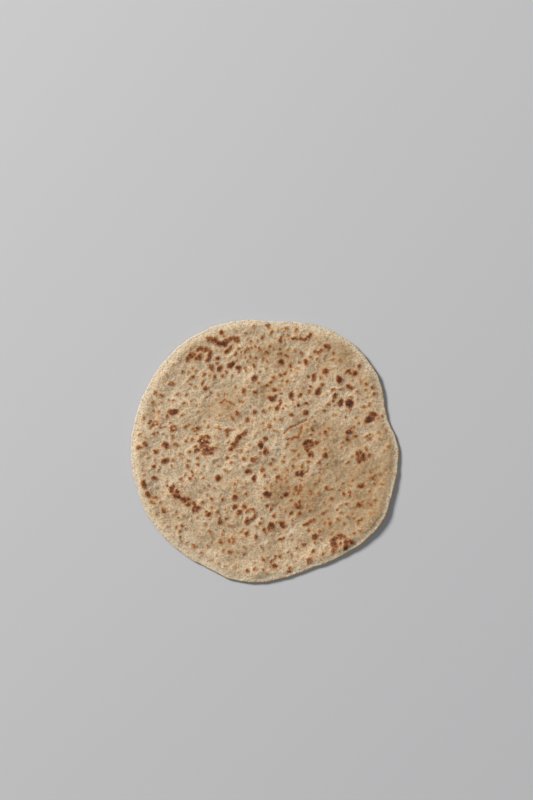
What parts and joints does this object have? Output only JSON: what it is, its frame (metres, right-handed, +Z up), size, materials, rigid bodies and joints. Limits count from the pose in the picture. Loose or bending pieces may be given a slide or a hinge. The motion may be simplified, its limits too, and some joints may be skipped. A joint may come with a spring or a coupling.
{
  "type": "flatbread",
  "caption": "Round thin wholemeal flatbread with a blistered, scorched upper face and a softly curling edge, lying flat.",
  "frame": {"origin": "on the surface the bread rests on, under the middle of its outline", "axes": "+Z up out of the upper face, with X and Y in the plane the bread lies on and +X towards the drawn-in part of the edge"},
  "size_m": [0.2512, 0.246, 0.0046],
  "materials": {
    "wholemeal_crust": "matte, floury, with toasted brown spots"
  },
  "bodies": {
    "root": {"flatbread": "wholemeal_crust"}
  },
  "joints": []
}
